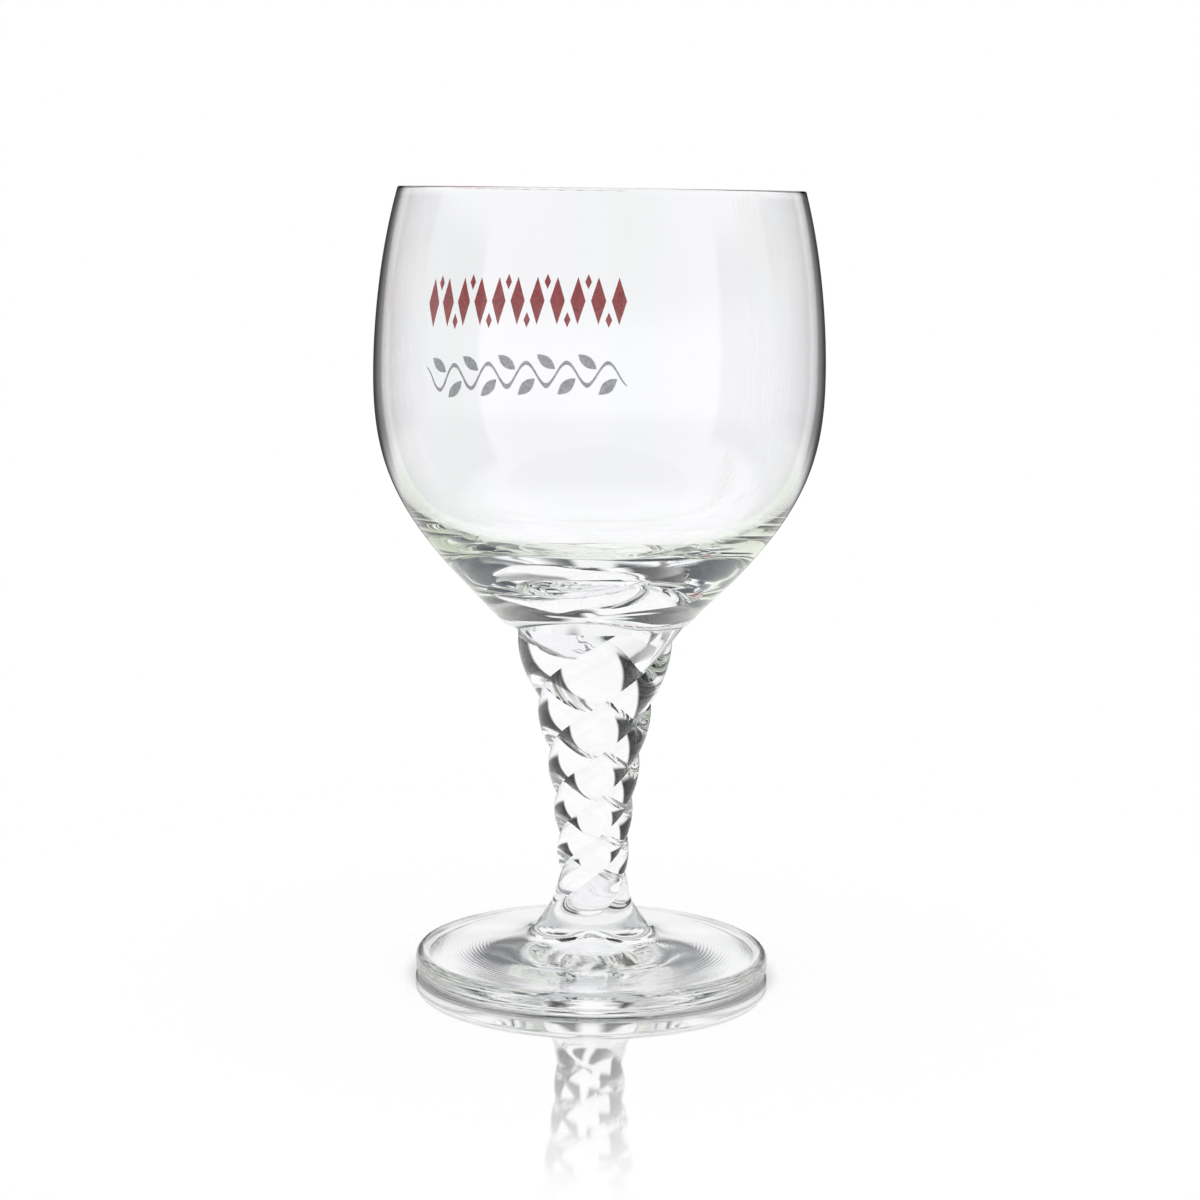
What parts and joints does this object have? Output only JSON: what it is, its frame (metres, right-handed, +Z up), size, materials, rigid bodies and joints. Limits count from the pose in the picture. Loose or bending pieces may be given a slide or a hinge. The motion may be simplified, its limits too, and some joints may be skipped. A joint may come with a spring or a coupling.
{
  "type": "goblet",
  "caption": "Stemmed drinking glass of clear glass: round bowl with a thick base, twisted ribbed stem and flat round foot.",
  "frame": {"origin": "on the surface that the goblet stands on, under the middle of its foot", "axes": "+Z up along the goblet's axis; +X to the right and +Y away in the picture's view"},
  "size_m": [0.0914, 0.0914, 0.1608],
  "materials": {
    "clear_glass": "clear polished soda-lime glass"
  },
  "bodies": {
    "root": {"bowl": "clear_glass", "stem": "clear_glass", "foot": "clear_glass"}
  },
  "joints": []
}
